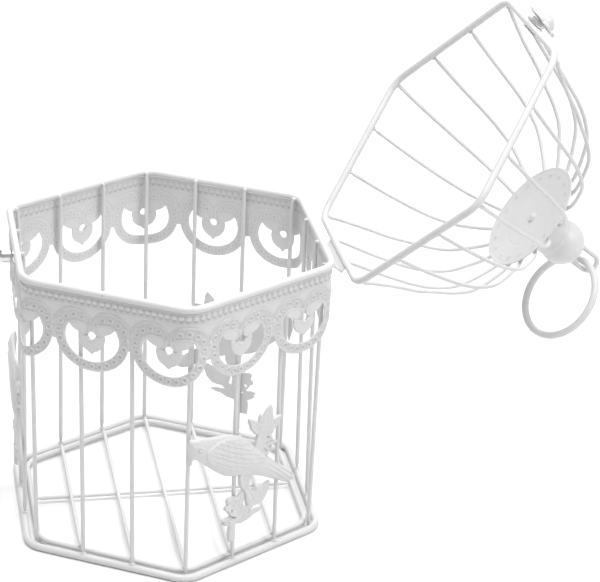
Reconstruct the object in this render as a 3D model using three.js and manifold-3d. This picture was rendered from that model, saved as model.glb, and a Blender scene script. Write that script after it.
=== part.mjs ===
// Wedding card box: a hexagonal wire cage with a hinged domed wire lid.
// Millimetres, +Z up. The cage's own frame has its origin on the floor under the middle of the cage,
// the hinge on the +X side and the catch on the -X side; two corners lie on +Y and -Y.
import * as THREE from "three";
import { mergeVertices } from "three/addons/utils/BufferGeometryUtils.js";
import Module from "manifold-3d";

const wasm = await Module();
wasm.setup();

// ---------------------------------------------------------------- driving dimensions
const gap = 0.3; // clearance kept between touching pieces
const rimWire = 2.6; // half thickness of the thick rim wires
const barWire = 1.5; // radius of the upright bars
const thinWire = 1.4; // radius of the floor wires and lid ribs
const cornerRadius = 18; // bend radius of the rims, at the wire's centre

const bottomApothem = 105.5; // centre of the hexagon to the middle of a side, at the wire's centre
const topApothem = 107.5;
const topRimZ = 212;
const barTopApothem = topApothem - rimWire - barWire - gap;
const barFootApothem = 104.8; // the inner bars of a wall stand on the bottom rim
const hingeBarFootApothem = 105.5;
const barSpread = 19.6; // sideways offset of the two inner bars of each wall
const bentWall = 4; // its inner bars were welded a little off upright
const bentFeet = [1.2, -0.5];
const bentTops = [-1.7, -2.9];

const baseRingWire = 2.0;
const baseRingApothem = 97.8;
const baseRingZ = 3.6;
const floorWireStep = 34.7;
const floorWiresEachSide = 2;

const lidRimApothem = 105;
const lidRimZ = topRimZ + 2 * rimWire + gap;
const lidOpenAngle = THREE.MathUtils.degToRad(128.2);

const domeShift = 2; // the dome leans this far towards the hinge
const discRadius = 41.8;
const discShift = 1.8;
const discTopZ = lidRimZ + 102.1;
const discDrop = 3; // the disc's edge lies this much lower than its middle
const sheet = 1;
const ballRadius = 16.8;
const ballZ = lidRimZ + 132.6;
const ballShift = 2.6;
const neckRadius = 15.6;
const eyeRadius = 6.6;
const eyeWire = 1.8;
const eyeZ = lidRimZ + 161.3; // middle of the eye's round end
const ringRadius = 31.4;
const ringWire = 2.7;
const ringStart = { x: 4, z: lidRimZ + 159.95 }; // where the ring's wire passes through the eye

const bandApothem = 107.2;
const bandSheet = 0.8;
const bandTopZ = topRimZ - rimWire - gap;

const pinRadius = 0.9;
const knuckleRadius = 2.2;
const knuckleHalf = 4.2; // half length of the lid leaf's middle knuckle
const hingeHalfWidth = 25;
const hingeMiddle = -3.5;
const leafSheet = 1.1;
const pin = { x: bandApothem + bandSheet / 2 + gap + knuckleRadius, z: topRimZ - 9.7 };

const studRadius = 4.8;
const studLength = 11.2;
const studZ = topRimZ - 9.9;
const claspHalfWidth = 12.5;
const flowerRadius = 14;
const flowerTilt = THREE.MathUtils.degToRad(15);

const white = { color: 0xf2f2f0, roughness: 0.38, metalness: 0.0 };
const chrome = { color: 0xc9cbcd, roughness: 0.15, metalness: 1.0 };

// ---------------------------------------------------------------- placing and naming
const group = new THREE.Group();
const onCage = new THREE.Matrix4();
const onLid = new THREE.Matrix4().makeTranslation(pin.x, 0, pin.z)
  .multiply(new THREE.Matrix4().makeRotationY(lidOpenAngle))
  .multiply(new THREE.Matrix4().makeTranslation(-pin.x, 0, -pin.z));

// Lid pieces are drawn on the closed lid and carried to the open one.
function addPart(place, name, geometry, look = white) {
  const mesh = new THREE.Mesh(geometry.applyMatrix4(place), new THREE.MeshStandardMaterial(look));
  mesh.name = name;
  group.add(mesh);
}

// ---------------------------------------------------------------- small tools
function toManifold(geometry) {
  const bare = new THREE.BufferGeometry();
  bare.setAttribute("position", geometry.getAttribute("position").clone());
  bare.setIndex(geometry.index);
  const merged = mergeVertices(bare, 1e-4);
  const index = Array.from(merged.index.array);
  const triVerts = [];
  for (let i = 0; i < index.length; i += 3) {
    const [a, b, c] = index.slice(i, i + 3);
    if (a !== b && b !== c && c !== a) triVerts.push(a, b, c);
  }
  const vertProperties = new Float32Array(merged.getAttribute("position").array);
  return new wasm.Manifold(
    new wasm.Mesh({ numProp: 3, vertProperties, triVerts: new Uint32Array(triVerts) }));
}

function toGeometry(manifold) {
  const mesh = manifold.getMesh();
  const geometry = new THREE.BufferGeometry();
  geometry.setAttribute("position", new THREE.BufferAttribute(new Float32Array(mesh.vertProperties), 3));
  geometry.setIndex(new THREE.BufferAttribute(new Uint32Array(mesh.triVerts), 1));
  geometry.computeVertexNormals();
  return geometry;
}

function join(geometries) {
  return toGeometry(geometries.map(toManifold).reduce((sum, next) => sum.add(next)));
}

function polygon(radius, sides) {
  const points = [];
  for (let i = 0; i < sides; i++) {
    const angle = ((i + 0.5) / sides) * 2 * Math.PI;
    points.push(new THREE.Vector2(radius * Math.cos(angle), radius * Math.sin(angle)));
  }
  return new THREE.Shape(points);
}

// A straight round wire between two points.
function straightWire(from, to, radius, sides = 8) {
  const along = new THREE.Vector3().subVectors(to, from);
  const geometry = new THREE.CylinderGeometry(radius, radius, along.length(), sides);
  const turn = new THREE.Quaternion().setFromUnitVectors(new THREE.Vector3(0, 1, 0), along.normalize());
  geometry.applyQuaternion(turn);
  const middle = new THREE.Vector3().addVectors(from, to).multiplyScalar(0.5);
  return geometry.translate(middle.x, middle.y, middle.z);
}

function bentWire(points, radius, sides, steps) {
  const extrudePath = new THREE.CatmullRomCurve3(points);
  return new THREE.ExtrudeGeometry(polygon(radius, sides), { steps, extrudePath });
}

// The point at a given distance from the axis, seen in a wall's own frame: out from the axis,
// sideways along the wall, and up. Walls are numbered 0 to 5 from the hinge side.
function onWall(wall, out, sideways, z) {
  const angle = (wall * Math.PI) / 3;
  return new THREE.Vector3(
    out * Math.cos(angle) - sideways * Math.sin(angle),
    out * Math.sin(angle) + sideways * Math.cos(angle), z);
}

function atCorner(corner, radius, z) {
  const angle = ((corner + 0.5) * Math.PI) / 3;
  return new THREE.Vector3(radius * Math.cos(angle), radius * Math.sin(angle), z);
}

// Distance from the axis to a rounded corner of a hexagon.
function cornerReach(apothem, bend = cornerRadius) {
  return (apothem - bend) / Math.cos(Math.PI / 6) + bend;
}

function roundedHexagon(path, apothem, bend) {
  for (let corner = 0; corner < 6; corner++) {
    const centre = atCorner(corner, (apothem - bend) / Math.cos(Math.PI / 6), 0);
    const from = (corner * Math.PI) / 3;
    path.absarc(centre.x, centre.y, bend, from, from + Math.PI / 3, false);
  }
  path.closePath();
  return path;
}

// A rim wire: a rounded hexagon with an eight-sided section, one flat facing the floor.
function hexagonRim(apothem, wire, z) {
  const halfFlat = wire * Math.tan(Math.PI / 8);
  const bevel = wire - halfFlat;
  const shape = roundedHexagon(new THREE.Shape(), apothem + halfFlat, cornerRadius + halfFlat);
  shape.holes.push(roundedHexagon(new THREE.Path(), apothem - halfFlat, cornerRadius - halfFlat));
  const geometry = new THREE.ExtrudeGeometry(shape, {
    depth: 2 * halfFlat, bevelSize: bevel, bevelThickness: bevel, bevelSegments: 1, curveSegments: 2,
  });
  return geometry.translate(0, 0, z - halfFlat);
}

// ---------------------------------------------------------------- cage frame
function buildFrame() {
  addPart(onCage, "bottom_rim", hexagonRim(bottomApothem, rimWire, rimWire));
  addPart(onCage, "base_ring", hexagonRim(baseRingApothem, baseRingWire, baseRingZ));
  addPart(onCage, "top_rim", hexagonRim(topApothem, rimWire, topRimZ));

  const cornerFootZ = 1.2;
  const wallFootZ = 2 * rimWire + gap;
  const topZ = topRimZ + 1;
  let count = 0;
  const addBar = (foot, top) => {
    count += 1;
    addPart(onCage, `bar_${String(count).padStart(2, "0")}`, straightWire(foot, top, barWire));
  };
  for (let wall = 0; wall < 6; wall++) {
    [-barSpread, barSpread].forEach((sideways, i) => {
      const lean = wall === bentWall ? [bentFeet[i], bentTops[i]] : [0, 0];
      addBar(onWall(wall, wall === 0 ? hingeBarFootApothem : barFootApothem, sideways + lean[0], wallFootZ),
        onWall(wall, barTopApothem, sideways + lean[1], topZ));
    });
    const inset = rimWire + barWire + gap;
    addBar(atCorner(wall, cornerReach(bottomApothem) - inset, cornerFootZ),
      atCorner(wall, cornerReach(topApothem) - inset, topZ));
  }
}

function buildFloor() {
  const wireZ = baseRingZ + baseRingWire + gap + thinWire;
  let count = 0;
  for (let step = -floorWiresEachSide; step <= floorWiresEachSide; step++) {
    count += 1;
    const x = step * floorWireStep;
    const corner = baseRingApothem / Math.cos(Math.PI / 6) - Math.abs(x) * Math.tan(Math.PI / 6);
    const reach = Math.min(corner, cornerReach(baseRingApothem)) + 1;
    addPart(onCage, `floor_wire_${count}`, straightWire(
      new THREE.Vector3(x, -reach, wireZ), new THREE.Vector3(x, reach, wireZ), thinWire));
  }
  const crossReach = baseRingApothem - baseRingWire - gap;
  const crossZ = wireZ - 2 * thinWire - gap;
  addPart(onCage, "floor_cross_wire", straightWire(
    new THREE.Vector3(-crossReach, 0, crossZ), new THREE.Vector3(crossReach, 0, crossZ), thinWire));
}

// ---------------------------------------------------------------- filigree band
// Heights of the pattern, measured down from the band's top edge.
const pattern = {
  valley: 35.5, bottom: 56, arcCentre: 31.1, arcHalfWidth: 26.8,
  cutHalfWidth: 19.6, cutBottom: 48.5, cutTip: 20.8, cutTop: 28.4,
  petalHalfWidth: 9.3, petalShoulder: 33, petalTip: 43.1, holeDown: 28.9, holeRadius: 2.8,
};
// The strip is stamped in two lengths that meet over the hinge and over the catch.
const frontPitch = 56.04;
const frontCount = 6;
const frontStart = -155.3; // from the -Y corner, along the strip towards the hinge
const rearPitch = 56.23;
const rearCount = 5;
const rearStart = 225.1;

function bandCells(perimeter) {
  const cells = [];
  for (let i = 0; i < frontCount; i++) cells.push([frontStart + i * frontPitch, frontPitch]);
  const frontEnd = frontStart + frontCount * frontPitch;
  cells.push([frontEnd, rearStart - frontEnd]);
  for (let i = 0; i < rearCount; i++) cells.push([rearStart + i * rearPitch, rearPitch]);
  const rearEnd = rearStart + rearCount * rearPitch;
  cells.push([rearEnd, frontStart + perimeter - rearEnd]);
  return cells;
}

// The shapes cut out of one scallop: along the strip from the -Y corner, and up.
function scallopCuts(start, width) {
  const s = (u) => start + width / 2 + (u * width) / frontPitch;
  const z = (down) => bandTopZ - down;
  const crescent = new THREE.Shape();
  const half = pattern.cutHalfWidth;
  const depth = pattern.cutBottom - pattern.arcCentre;
  const tip = Math.asin((pattern.arcCentre - pattern.cutTip) / depth);
  const outerSteps = 14;
  for (let i = 0; i <= outerSteps; i++) {
    const angle = -tip + (i / outerSteps) * (Math.PI + 2 * tip);
    const point = [s(half * Math.cos(angle)), z(pattern.arcCentre + depth * Math.sin(angle))];
    if (i === 0) crescent.moveTo(...point);
    else crescent.lineTo(...point);
  }
  const petal = pattern.petalHalfWidth;
  const flank = pattern.petalTip - 2.5;
  crescent.lineTo(s(-1.55 * petal), z(pattern.cutTop - 3.2));
  crescent.lineTo(s(-1.3 * petal), z(pattern.cutTop - 1.2));
  crescent.lineTo(s(-petal - 0.3), z(pattern.cutTop));
  crescent.lineTo(s(-petal), z(pattern.petalShoulder));
  crescent.quadraticCurveTo(s(-0.75 * petal), z(flank), s(0), z(pattern.petalTip));
  crescent.quadraticCurveTo(s(0.75 * petal), z(flank), s(petal), z(pattern.petalShoulder));
  crescent.lineTo(s(petal + 0.3), z(pattern.cutTop));
  crescent.lineTo(s(1.3 * petal), z(pattern.cutTop - 1.2));
  crescent.lineTo(s(1.55 * petal), z(pattern.cutTop - 3.2));

  const hole = new THREE.Shape();
  hole.absellipse(s(0), z(pattern.holeDown), pattern.holeRadius, pattern.holeRadius, 0, 2 * Math.PI);

  const below = new THREE.Shape();
  const overlap = 0.05; // neighbouring cuts run into each other a little
  below.moveTo(start - overlap, z(70));
  below.lineTo(start - overlap, z(pattern.valley));
  const reach = pattern.bottom - pattern.arcCentre;
  const lift = Math.asin((pattern.valley - pattern.arcCentre) / reach);
  const steps = 10;
  for (let i = 0; i <= steps; i++) {
    const angle = Math.PI - lift - (i / steps) * (Math.PI - 2 * lift);
    below.lineTo(s(pattern.arcHalfWidth * Math.cos(angle)), z(pattern.arcCentre + reach * Math.sin(angle)));
  }
  below.lineTo(start + width + overlap, z(pattern.valley));
  below.lineTo(start + width + overlap, z(70));
  return [crescent, hole, below];
}

// Stations along the band: distance from the -Y corner, the point on its inner face and the way out.
function bandStations() {
  const inner = bandApothem - bandSheet / 2;
  const flat = 2 * (inner - cornerRadius) * Math.tan(Math.PI / 6);
  const arc = (cornerRadius * Math.PI) / 3;
  const arcSteps = 4;
  const stations = [];
  for (let corner = -2; corner < 6; corner++) {
    const centre = atCorner(corner + 4, (inner - cornerRadius) / Math.cos(Math.PI / 6), 0);
    for (let i = 0; i <= arcSteps; i++) {
      const angle = ((corner + 4) * Math.PI) / 3 + (i / arcSteps) * (Math.PI / 3);
      const out = new THREE.Vector3(Math.cos(angle), Math.sin(angle), 0);
      const point = centre.clone().addScaledVector(out, cornerRadius);
      stations.push({ at: corner * (flat + arc) + (i / arcSteps - 0.5) * arc, point, out });
    }
  }
  return { stations, perimeter: 6 * (flat + arc) };
}

// A hoop of sheet round the bars, with the pattern of every scallop cut through it.
function buildBand() {
  const { stations, perimeter } = bandStations();
  const half = bandSheet / 2;
  const shape = roundedHexagon(new THREE.Shape(), bandApothem + half, cornerRadius + bandSheet);
  shape.holes.push(roundedHexagon(new THREE.Path(), bandApothem - half, cornerRadius));
  const hoop = new THREE.ExtrudeGeometry(shape, {
    depth: pattern.bottom, bevelEnabled: false, curveSegments: 4,
  }).translate(0, 0, bandTopZ - pattern.bottom);

  const cutterHalf = 14;
  let band = toManifold(hoop);
  for (const cut of bandCells(perimeter).flatMap((cell) => scallopCuts(...cell))) {
    const flat = { depth: 2 * cutterHalf, bevelEnabled: false, curveSegments: 5 };
    const cutter = new THREE.ExtrudeGeometry(cut, flat).translate(0, 0, -cutterHalf);
    const position = cutter.getAttribute("position");
    for (let v = 0; v < position.count; v++) {
      const x = position.getX(v);
      const next = stations.findIndex((station) => station.at > x);
      const [from, to] = [stations[next - 1], stations[next]];
      const t = (x - from.at) / (to.at - from.at);
      const point = from.point.clone().lerp(to.point, t);
      point.addScaledVector(from.out.clone().lerp(to.out, t), position.getZ(v));
      position.setXYZ(v, point.x, point.y, position.getY(v));
    }
    band = band.subtract(toManifold(cutter));
  }
  addPart(onCage, "filigree_band", toGeometry(band));
}

// ---------------------------------------------------------------- bird on a leafy branch
// The ornament's outline, in millimetres along and up the wall from the wall's middle and the floor.
const birdOutline = [
  [-52.6, 113.4], [-42.4, 111.3], [-27.6, 108.4], [-20, 105.2], [-12.3, 99.6], [-1.3, 88.2], [9.9, 78.2],
  [17.9, 70.7], [27.6, 63.2], [34.3, 55.6], [33.2, 53], [26.6, 52.6], [13.8, 59.3], [1.2, 66.3],
  [-11.2, 71.3], [-26.4, 75.2], [-35.5, 80.3], [-47.6, 90.4], [-56.6, 98.3], [-59.2, 93.2], [-61, 99.6],
  [-62.3, 106], [-61.7, 111.2], [-59.8, 113.6],
];
// Leaves: base and tip on the wall, and the half width.
const crown = [
  [[-1, 82], [3, 108], 4.5], [[2, 99], [-11, 115.5], 3.4], [[3, 99], [0, 116.5], 3.2],
  [[3, 98], [9.5, 121.5], 4.8], [[2, 99], [20, 109.5], 4.2], [[1, 98], [13.5, 98], 1.7],
  [[1, 94.5], [13.5, 92.3], 1.7], [[0, 90], [17, 89.3], 1.8], [[0, 87.5], [9.5, 80.5], 1.7],
  [[3, 90], [14, 81.5], 1.6],
];
const spray = [
  [[-13, 78], [-12, 57], 4.8], [[-5, 44], [11, 60], 5], [[-5, 43], [-10, 61.5], 3.8],
  [[-15, 40.5], [-27.5, 58.5], 6], [[-18, 48], [-15, 60], 3.5], [[-21, 37], [-33, 42], 2.6],
  [[-21, 36], [-32.5, 38.6], 2], [[-22, 36], [0, 39], 3.2], [[-8, 38.5], [4.8, 39], 1.6],
  [[-22, 37.5], [1, 48.5], 2.6],
];
const wing = [[-50, 103], [6, 81], 9.5];
const stalk = [[-26.6, 38], [-26.6, 24], [-25, 22], [-21.5, 22], [-20.3, 24], [-20.3, 38]];
const branchLine = [[-12, 60], [-9.8, 54], [-7, 47], [-13, 42], [-22, 37]];
const ornamentApothem = 106.5;

function leafShape([base, tip, halfWidth]) {
  const root = new THREE.Vector2(...base);
  const end = new THREE.Vector2(...tip);
  const across = new THREE.Vector2(root.y - end.y, end.x - root.x).normalize().multiplyScalar(halfWidth * 2);
  const middle = root.clone().lerp(end, 0.45);
  const shape = new THREE.Shape();
  shape.moveTo(root.x, root.y);
  shape.quadraticCurveTo(middle.x + across.x, middle.y + across.y, end.x, end.y);
  shape.quadraticCurveTo(middle.x - across.x, middle.y - across.y, root.x, root.y);
  return shape;
}

function buildOrnament(wall, name) {
  const flat = { bevelEnabled: false, curveSegments: 4 };
  const bird = new THREE.Shape();
  bird.setFromPoints(birdOutline.map((point) => new THREE.Vector2(...point)));
  const bevel = { depth: 1.6, bevelSize: 1.2, bevelThickness: 1.2, bevelOffset: -1.2, bevelSegments: 1 };
  const pieces = [new THREE.ExtrudeGeometry(bird, bevel).translate(0, 0, 1.2)];
  for (const leaf of [...crown, ...spray]) {
    pieces.push(new THREE.ExtrudeGeometry(leafShape(leaf), { ...flat, depth: 1.8 }));
  }
  pieces.push(new THREE.ExtrudeGeometry(leafShape(wing), { ...flat, depth: 5 }));
  const stalkShape = new THREE.Shape(stalk.map((point) => new THREE.Vector2(...point)));
  pieces.push(new THREE.ExtrudeGeometry(stalkShape, { ...flat, depth: 2.6 }));
  const branch = branchLine.map(([along, up]) => new THREE.Vector3(along, up, 1.2));
  pieces.push(bentWire(branch, 1.6, 6, 12).translate(0, 0, 0.4));
  // The bird's head is bent round the corner of the cage.
  const edge = (ornamentApothem - cornerRadius) * Math.tan(Math.PI / 6);
  const bent = toManifold(join(pieces)).refineToLength(7).warp((point) => {
    const past = Math.abs(point[0]) - edge;
    if (past <= 0) return;
    const reach = cornerRadius + point[2];
    point[0] = Math.sign(point[0]) * (edge + reach * Math.sin(past / cornerRadius));
    point[2] = reach * Math.cos(past / cornerRadius) - cornerRadius;
  });
  const solid = toGeometry(bent);
  const angle = (wall * Math.PI) / 3;
  const along = new THREE.Vector3(-Math.sin(angle), Math.cos(angle), 0);
  const out = new THREE.Vector3(Math.cos(angle), Math.sin(angle), 0);
  const place = new THREE.Matrix4().makeBasis(along, new THREE.Vector3(0, 0, 1), out);
  place.setPosition(onWall(wall, ornamentApothem, 0, 0));
  addPart(onCage, name, solid.applyMatrix4(place));
}

// ---------------------------------------------------------------- hinge
// A strip of sheet: a profile in the XZ plane drawn out along Y.
function strip(points, fromY, toY) {
  const shape = new THREE.Shape(points.map(([x, z]) => new THREE.Vector2(x, z)));
  const geometry = new THREE.ExtrudeGeometry(shape, { depth: toY - fromY, bevelEnabled: false });
  return geometry.rotateX(Math.PI / 2).translate(0, toY, 0);
}

function box(fromX, toX, fromY, toY, fromZ, toZ) {
  return strip([[fromX, fromZ], [toX, fromZ], [toX, toZ], [fromX, toZ]], fromY, toY);
}

function alongPin(radius, fromY, toY, sides = 16) {
  return new THREE.CylinderGeometry(radius, radius, toY - fromY, sides)
    .translate(0, (fromY + toY) / 2, 0).translate(pin.x, 0, pin.z);
}

function buildHinge() {
  const bore = toManifold(alongPin(pinRadius + gap, -50, 50));
  const inner = pin.x - knuckleRadius;
  const outer = pin.x + knuckleRadius;
  const outerKnuckle = knuckleHalf + gap;
  const clear = knuckleRadius + 2 * gap;

  const bodyLeaf = [box(inner, inner + leafSheet, -hingeHalfWidth, hingeHalfWidth, pin.z + clear, bandTopZ)];
  const lidTop = lidRimZ + leafSheet / 2;
  const lidLeaf = [
    box(outer - leafSheet, outer, -hingeHalfWidth, hingeHalfWidth, pin.z + clear, lidTop),
    box(outer - leafSheet, outer, -knuckleHalf, knuckleHalf, pin.z, lidTop),
    box(lidRimApothem + rimWire + gap, outer, -hingeHalfWidth, hingeHalfWidth, lidTop - leafSheet, lidTop),
    alongPin(knuckleRadius, -knuckleHalf, knuckleHalf),
  ];
  for (const [fromY, toY] of [[-hingeHalfWidth, -outerKnuckle], [outerKnuckle, hingeHalfWidth]]) {
    bodyLeaf.push(box(inner, inner + leafSheet, fromY, toY, pin.z, bandTopZ));
    bodyLeaf.push(alongPin(knuckleRadius, fromY, toY));
  }
  const solid = (pieces) => toGeometry(toManifold(join(pieces)).subtract(bore)).translate(0, hingeMiddle, 0);
  addPart(onCage, "hinge_body_leaf", solid(bodyLeaf));
  addPart(onLid, "hinge_lid_leaf", solid(lidLeaf));
  const pinHalf = hingeHalfWidth + 0.6;
  addPart(onCage, "hinge_pin", alongPin(pinRadius, hingeMiddle - pinHalf, hingeMiddle + pinHalf, 12));
}

// ---------------------------------------------------------------- lid
function buildLidRibs() {
  const lift = (height) => lidRimZ + height;
  const shift = (height) => domeShift * Math.tanh(height / 35);
  const shoulder = [[82, 72.6], [72, 85.1], [58, 94.1], [46, 100], [40, 101.6], [33, 102.5]];
  const midFoot = Math.hypot(104.3, barSpread);
  const midRib = [[midFoot, 3.4], [98.9, 28.1], [94, 44.1], [88.9, 59], ...shoulder];
  const cornerFoot = cornerReach(lidRimApothem) - 0.8;
  const cornerRib = [[cornerFoot, 3.4], [111.3, 15], [103.4, 31], [97, 46], [89.3, 59.5], ...shoulder];
  const turn = Math.atan2(barSpread, 104.3);
  let count = 0;
  const addRib = (profile, angle) => {
    count += 1;
    const points = profile.map(([out, up]) =>
      new THREE.Vector3(out * Math.cos(angle) + shift(up), out * Math.sin(angle), lift(up)));
    addPart(onLid, `rib_${String(count).padStart(2, "0")}`, bentWire(points, thinWire, 6, 13));
  };
  for (let wall = 0; wall < 6; wall++) {
    const middle = (wall * Math.PI) / 3;
    addRib(midRib, middle - turn);
    addRib(midRib, middle + turn);
    addRib(cornerRib, middle + Math.PI / 6);
  }
}

function lathe(points, segments) {
  const profile = points.map(([radius, height]) => new THREE.Vector2(radius, height));
  return new THREE.LatheGeometry(profile, segments).rotateX(Math.PI / 2);
}

function buildDisc() {
  const underside = [[0, -2.6], [2.4, -2.3], [3.4, -sheet - 0.1]];
  const across = [0.35, 0.7, 1];
  const drop = (share) => -discDrop * share ** 2;
  const below = across.map((share) => [share * discRadius, drop(share) - sheet]);
  const above = across.map((share) => [share * discRadius, drop(share)]).reverse();
  const profile = [...underside, ...below, ...above, [0, 0]];
  addPart(onLid, "cap_disc", lathe(profile, 36).translate(discShift, 0, discTopZ));
}

function buildFinial() {
  const foot = discTopZ + gap;
  const wall = 1;
  const arcSteps = 9;
  const arc = (radius, neck) => {
    const from = Math.asin(neck / radius);
    const points = [];
    for (let i = 0; i <= arcSteps; i++) {
      const angle = Math.PI - from - (i / arcSteps) * (Math.PI - from);
      points.push([radius * Math.sin(angle), ballZ + radius * Math.cos(angle)]);
    }
    points[arcSteps][0] = 0;
    return points;
  };
  const neck = [[neckRadius + 0.6, foot], [neckRadius, foot + 6]];
  const inside = neck.map(([radius, z]) => [radius - wall, z]);
  const outside = [...neck, ...arc(ballRadius, neckRadius)];
  const hollow = [...inside, ...arc(ballRadius - wall, neckRadius - wall)];
  const shell = lathe([...hollow.reverse(), ...outside], 24);
  addPart(onLid, "finial", shell.translate(ballShift, 0, 0));

  // The eye is a bent wire whose two legs end on the ball.
  const bend = [];
  for (let i = 0; i <= 8; i++) {
    const angle = Math.PI * (1 - i / 8);
    bend.push(new THREE.Vector3(eyeRadius * Math.cos(angle), 0, eyeZ + eyeRadius * Math.sin(angle)));
  }
  const legs = [-eyeRadius, eyeRadius].map((x) => new THREE.Vector3(x, 0, ballZ + 0.7 * ballRadius));
  const loop = bentWire([legs[0], ...bend, legs[1]], eyeWire, 8, 22);
  const ball = new THREE.SphereGeometry(ballRadius + gap, 24, 16).translate(0, 0, ballZ);
  const eye = toManifold(loop).subtract(toManifold(ball));
  addPart(onLid, "ring_eye", toGeometry(eye).translate(ballShift, 0, 0));
}

// The ring hangs through the eye; its middle lies towards the hinge side of the closed lid.
function buildRing() {
  const outward = new THREE.Vector3(0.996, -0.087, 0.026).normalize();
  const across = new THREE.Vector3(0, -0.3, -0.95).cross(outward).normalize();
  const normal = new THREE.Vector3().crossVectors(outward, across);
  const ring = new THREE.TorusGeometry(ringRadius, ringWire, 8, 40);
  ring.translate(ringRadius, 0, 0);
  const place = new THREE.Matrix4().makeBasis(outward, across, normal).setPosition(ringStart.x, 0, ringStart.z);
  addPart(onLid, "ring_handle", ring.applyMatrix4(place));
}

// ---------------------------------------------------------------- catch
function buildCatch() {
  const profile = [[0, 0], [studRadius, 0], [studRadius, studLength - 2], [studRadius - 1.6, studLength],
    [0, studLength]];
  const stud = lathe(profile, 20).rotateY(-Math.PI / 2);
  addPart(onCage, "catch_stud", stud.translate(-(bandApothem + bandSheet / 2 + gap), 0, studZ), chrome);

  // The tab's collar is bent over the lid's rim wire and stays open towards the cage.
  const inner = rimWire / Math.cos(Math.PI / 8) + gap;
  const outer = inner + 0.9;
  const steps = 10;
  const from = THREE.MathUtils.degToRad(-25);
  const sweep = THREE.MathUtils.degToRad(215);
  const collar = [];
  for (let i = 0; i <= steps; i++) {
    const angle = from + (i / steps) * sweep;
    collar.push([-Math.cos(angle) * outer, Math.sin(angle) * outer]);
  }
  for (let i = steps; i >= 0; i--) {
    const angle = from + (i / steps) * sweep;
    collar.push([-Math.cos(angle) * inner, Math.sin(angle) * inner]);
  }
  const toRim = new THREE.Matrix4().makeTranslation(-lidRimApothem, 0, lidRimZ);
  const arm = [[-inner - 0.3, 0.6], [-inner - 0.3, 1.7], [-6.34, 2.59], [-6.62, 1.53]];
  const tab = join([
    strip(collar.reverse(), -claspHalfWidth, claspHalfWidth),
    strip(arm.reverse(), -claspHalfWidth, claspHalfWidth),
  ]);
  addPart(onLid, "clasp_tab", tab.applyMatrix4(toRim));

  const petals = 8;
  const outline = [];
  for (let i = 0; i < petals * 6; i++) {
    const angle = (i / (petals * 6)) * 2 * Math.PI;
    const reach = flowerRadius * (0.94 + 0.06 * Math.cos(petals * angle));
    outline.push(new THREE.Vector2(reach * Math.cos(angle), reach * Math.sin(angle)));
  }
  const bevel = { depth: 0.6, bevelSize: 0.8, bevelThickness: 0.8, bevelOffset: -0.8, bevelSegments: 1 };
  const plate = new THREE.ExtrudeGeometry(new THREE.Shape(outline), bevel).translate(0, 0, 0.8);
  const dome = lathe([[0, 0.5], [9.5, 0.5], [9.2, 3.5], [7.6, 6.3], [4.4, 8.4], [0, 9.2]], 20);
  const flower = join([plate, dome]);
  const facing = new THREE.Vector3(-Math.cos(flowerTilt), 0, Math.sin(flowerTilt));
  const up = new THREE.Vector3(Math.sin(flowerTilt), 0, Math.cos(flowerTilt));
  const place = new THREE.Matrix4().makeBasis(new THREE.Vector3().crossVectors(up, facing), up, facing);
  place.setPosition(-lidRimApothem - 6.4, 0, lidRimZ + 3.5);
  addPart(onLid, "clasp_flower", flower.applyMatrix4(place));
}

// ---------------------------------------------------------------- assembly
buildFrame();
buildFloor();
buildBand();
buildOrnament(5, "bird_branch_1");
buildOrnament(1, "bird_branch_2");
buildOrnament(3, "bird_branch_3");
addPart(onLid, "lid_rim", hexagonRim(lidRimApothem, rimWire, lidRimZ));
buildLidRibs();
buildDisc();
buildFinial();
buildHinge();
buildRing();
buildCatch();

// The origin goes to the middle of the bounding box's footprint, on the floor.
const bounds = new THREE.Box3().setFromObject(group);
const middle = bounds.getCenter(new THREE.Vector3());
for (const mesh of group.children) mesh.geometry.translate(-middle.x, -middle.y, -bounds.min.z);

export default group;
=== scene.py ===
"""Looks of the wedding card box: a white powder-coated wire cage with its domed lid open.

Every piece is drawn in the cage's own millimetres, with the origin on the floor under the middle of the cage
and the hinge on +X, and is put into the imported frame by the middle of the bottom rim.
"""

import math

import bmesh
import bpy
import numpy as np
from mathutils import Matrix, Vector, noise


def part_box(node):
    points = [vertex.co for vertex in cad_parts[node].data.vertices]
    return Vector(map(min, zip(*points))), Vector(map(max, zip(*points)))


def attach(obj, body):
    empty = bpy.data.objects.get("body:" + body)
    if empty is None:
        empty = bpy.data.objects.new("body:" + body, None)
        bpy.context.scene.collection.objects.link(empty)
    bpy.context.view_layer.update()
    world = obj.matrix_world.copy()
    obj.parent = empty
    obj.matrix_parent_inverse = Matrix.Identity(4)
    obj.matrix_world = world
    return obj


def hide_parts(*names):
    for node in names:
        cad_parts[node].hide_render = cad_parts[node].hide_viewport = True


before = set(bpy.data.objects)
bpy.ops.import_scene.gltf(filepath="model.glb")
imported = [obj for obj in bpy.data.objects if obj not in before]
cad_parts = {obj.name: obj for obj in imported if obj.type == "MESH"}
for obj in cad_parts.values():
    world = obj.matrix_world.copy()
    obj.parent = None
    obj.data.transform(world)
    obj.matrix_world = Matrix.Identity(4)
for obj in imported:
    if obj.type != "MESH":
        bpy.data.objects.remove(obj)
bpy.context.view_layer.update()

# ------------------------------------------------------------------ frames
rim_low, rim_high = (Vector(corner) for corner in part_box("bottom_rim"))
cage_origin = Vector(((rim_low.x + rim_high.x) / 2, (rim_low.y + rim_high.y) / 2, rim_low.z))
PIN = Vector((110.1, 0, 202.3))
OPEN = math.radians(128.2)

to_row = Matrix.Translation(cage_origin) @ Matrix.Diagonal((0.001, 0.001, 0.001, 1))
open_lid = to_row @ Matrix.Translation(PIN) @ Matrix.Rotation(OPEN, 4, "Y") @ Matrix.Translation(-PIN)

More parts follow.
